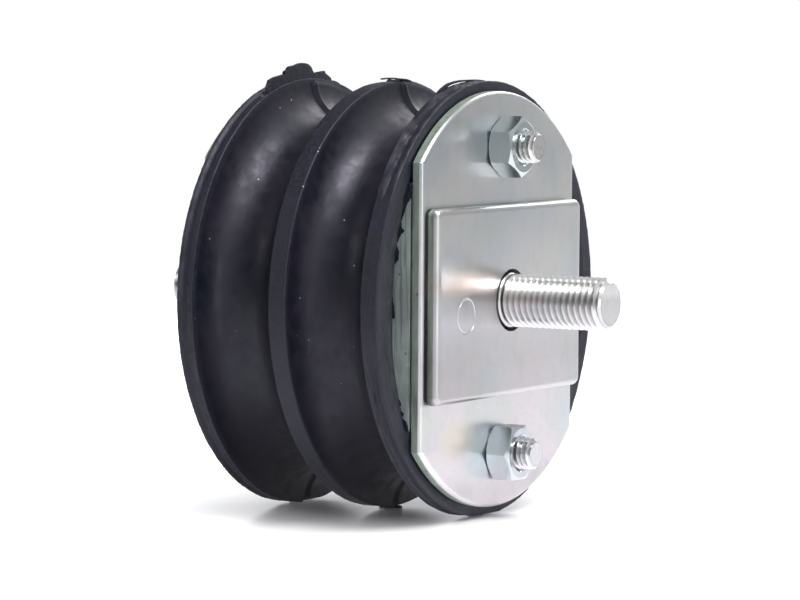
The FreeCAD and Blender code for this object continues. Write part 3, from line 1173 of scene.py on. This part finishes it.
def floor_material(base):
    """Pale and faintly glossy; it glows for the camera, and weakly in reflections. The camera glow
    is dimmed near the mount as a painted shadow.
    """
    shader = Shader("pale_floor")
    surface = shader.surface
    surface.inputs["Base Color"].default_value = colour(base)
    surface.inputs["Roughness"].default_value = 0.22
    surface.inputs["IOR"].default_value = 1.25
    path = shader.add("ShaderNodeLightPath")
    # Painted shadow: the camera glow fades near the mount, so the floor is darker round the contact
    level = shader.ranged(shader.reach((22, 24, 0), (0.58, 0, 0)), 0.25, 1.35, 0.02, 0.62)
    seen = shader.times(path.outputs["Is Camera Ray"], level)
    mirrored = shader.times(path.outputs["Is Glossy Ray"], 0.22)
    glow = shader.made("ShaderNodeEmission", {
        "Color": WHITE, "Strength": shader.math("ADD", seen, mirrored)})
    both = shader.made("ShaderNodeAddShader", {0: surface.outputs[0], 1: glow})
    shader.put(shader.tree.nodes["Material Output"].inputs["Surface"], both)
    return shader.material


def studio_world():
    """White where the camera looks past the floor; elsewhere a room with a lit backdrop."""
    world = bpy.data.worlds.new("studio")
    bpy.context.scene.world = world
    world.use_nodes = True
    world.node_tree.nodes.clear()
    nodes = Nodes(world.node_tree)
    place = nodes.coordinates.outputs["Generated"]

    def along(direction, *ramp):
        """A soft ramp along a direction: from, to and the value at each."""
        inputs = {0: place, 1: direction}
        way = nodes.made("ShaderNodeVectorMath", inputs, "Value", operation="DOT_PRODUCT")
        return nodes.ranged(way, *ramp)

    horizon = along((0.95, 0.3, 0), -0.8, 0.8, 0.26, 0.42)
    ceiling = along((1, 0, 0), -0.30, 0.55, 0.10, 0.62)
    level = nodes.blended(along((0, 0, 1), 0.06, 0.42, 0, 1), horizon, ceiling)
    backdrop = along((-0.51, 0.86, 0), 0.60, 0.92, 0, 1)
    lit = nodes.blended(along((0, 0, 1), 0.20, 0.40, 1, 0), 0.0, backdrop)
    level = nodes.blended(lit, level, 1.3)
    tinge = (0.97, 0.98, 1.0, 1.0)
    room = nodes.made("ShaderNodeBackground", {"Color": tinge, "Strength": level})
    white = nodes.made("ShaderNodeBackground", {"Color": WHITE})
    seen = nodes.add("ShaderNodeLightPath").outputs["Is Camera Ray"]
    pick = nodes.made("ShaderNodeMixShader", {0: seen, 1: room, 2: white})
    nodes.put(nodes.add("ShaderNodeOutputWorld").inputs[0], pick)


def softbox(name, place, aim, width, height, power, tint=(1, 1, 1)):
    deselect()
    bpy.ops.object.light_add(type="AREA", location=place)
    lamp = bpy.context.active_object
    lamp.name = name
    lamp.data.shape = "RECTANGLE"
    lamp.data.size, lamp.data.size_y = width, height
    lamp.data.energy = power
    lamp.data.color = tint
    lamp.rotation_euler = (Vector(aim) - Vector(place)).to_track_quat("-Z", "Y").to_euler()


class MOUNT_OT_stage(bpy.types.Operator):
    """Set the pale floor, the soft lights and the camera"""
    bl_idname = "mount.stage"
    bl_label = "Studio Stage"

    def execute(self, context):
        scene = context.scene
        stage = scene.mount_stage
        scene.view_settings.view_transform = "Standard"
        deselect()
        bpy.ops.mesh.primitive_plane_add(size=1.0, location=(0.03, 0.05, FLOOR - 0.35 * MM))
        floor = named("floor")
        settle()
        floor.data.materials.append(floor_material(stage.floor_colour))
        studio_world()
        softbox("key", (0.36, -0.11, 0.84), (-0.03, -0.01, 0), 0.42, 0.60, 9.0)
        softbox("back", (-0.07, 0.76, 0.55), (-0.02, 0, 0), 0.42, 0.42, 2.0)
        softbox("left", (-0.85, -0.72, 0.58), (-0.03, 0, 0), 0.42, 0.55, 1.5)
        softbox("right", (0.80, -0.48, 0.10), (0, 0, 0), 0.25, 0.5, 0.8)
        turn = (Matrix.Rotation(stage.azimuth, 4, "Z")
                @ Matrix.Rotation(math.pi / 2 - stage.elevation, 4, "X")
                @ Matrix.Rotation(stage.roll, 4, "Z"))
        place = turn @ Vector((-stage.side_step, 0, stage.distance))
        bpy.ops.object.camera_add(location=place, rotation=turn.to_euler())
        camera = context.active_object
        camera.name = "camera"
        camera.data.sensor_width = 36.0
        camera.data.lens = stage.lens
        camera.data.clip_start, camera.data.clip_end = 0.01, 50.0
        scene.camera = camera
        return {"FINISHED"}


class MOUNT_PT_panel(bpy.types.Panel):
    bl_idname = "MOUNT_PT_panel"
    bl_label = "Engine Mount"
    bl_space_type = "VIEW_3D"
    bl_region_type = "UI"
    bl_category = "Engine Mount"

    def draw(self, context):
        layout = self.layout
        scene = context.scene
        for settings in SETTINGS:
            group = getattr(scene, settings)
            box = layout.box()
            for name in group.__annotations__:
                box.prop(group, name)
        for operator in OPERATORS:
            layout.operator(operator.bl_idname)


SETTINGS = {
    "mount_rubber": RubberSettings,
    "mount_plate": PlateSettings,
    "mount_thread": ThreadSettings,
    "mount_stage": StageSettings,
}
OPERATORS = (
    MOUNT_OT_rubber, MOUNT_OT_plates, MOUNT_OT_studs, MOUNT_OT_bolts, MOUNT_OT_nuts, MOUNT_OT_stage)


def register():
    for name, group in SETTINGS.items():
        bpy.utils.register_class(group)
        setattr(bpy.types.Scene, name, bpy.props.PointerProperty(type=group))
    for operator in OPERATORS:
        bpy.utils.register_class(operator)
    bpy.utils.register_class(MOUNT_PT_panel)


def unregister():
    bpy.utils.unregister_class(MOUNT_PT_panel)
    for operator in reversed(OPERATORS):
        bpy.utils.unregister_class(operator)
    for name, group in SETTINGS.items():
        delattr(bpy.types.Scene, name)
        bpy.utils.unregister_class(group)


def main():
    register()
    bpy.ops.mount.rubber()
    bpy.ops.mount.plates()
    bpy.ops.mount.studs()
    bpy.ops.mount.bolts()
    bpy.ops.mount.nuts()
    bpy.ops.mount.stage()


if __name__ == "__main__":
    main()
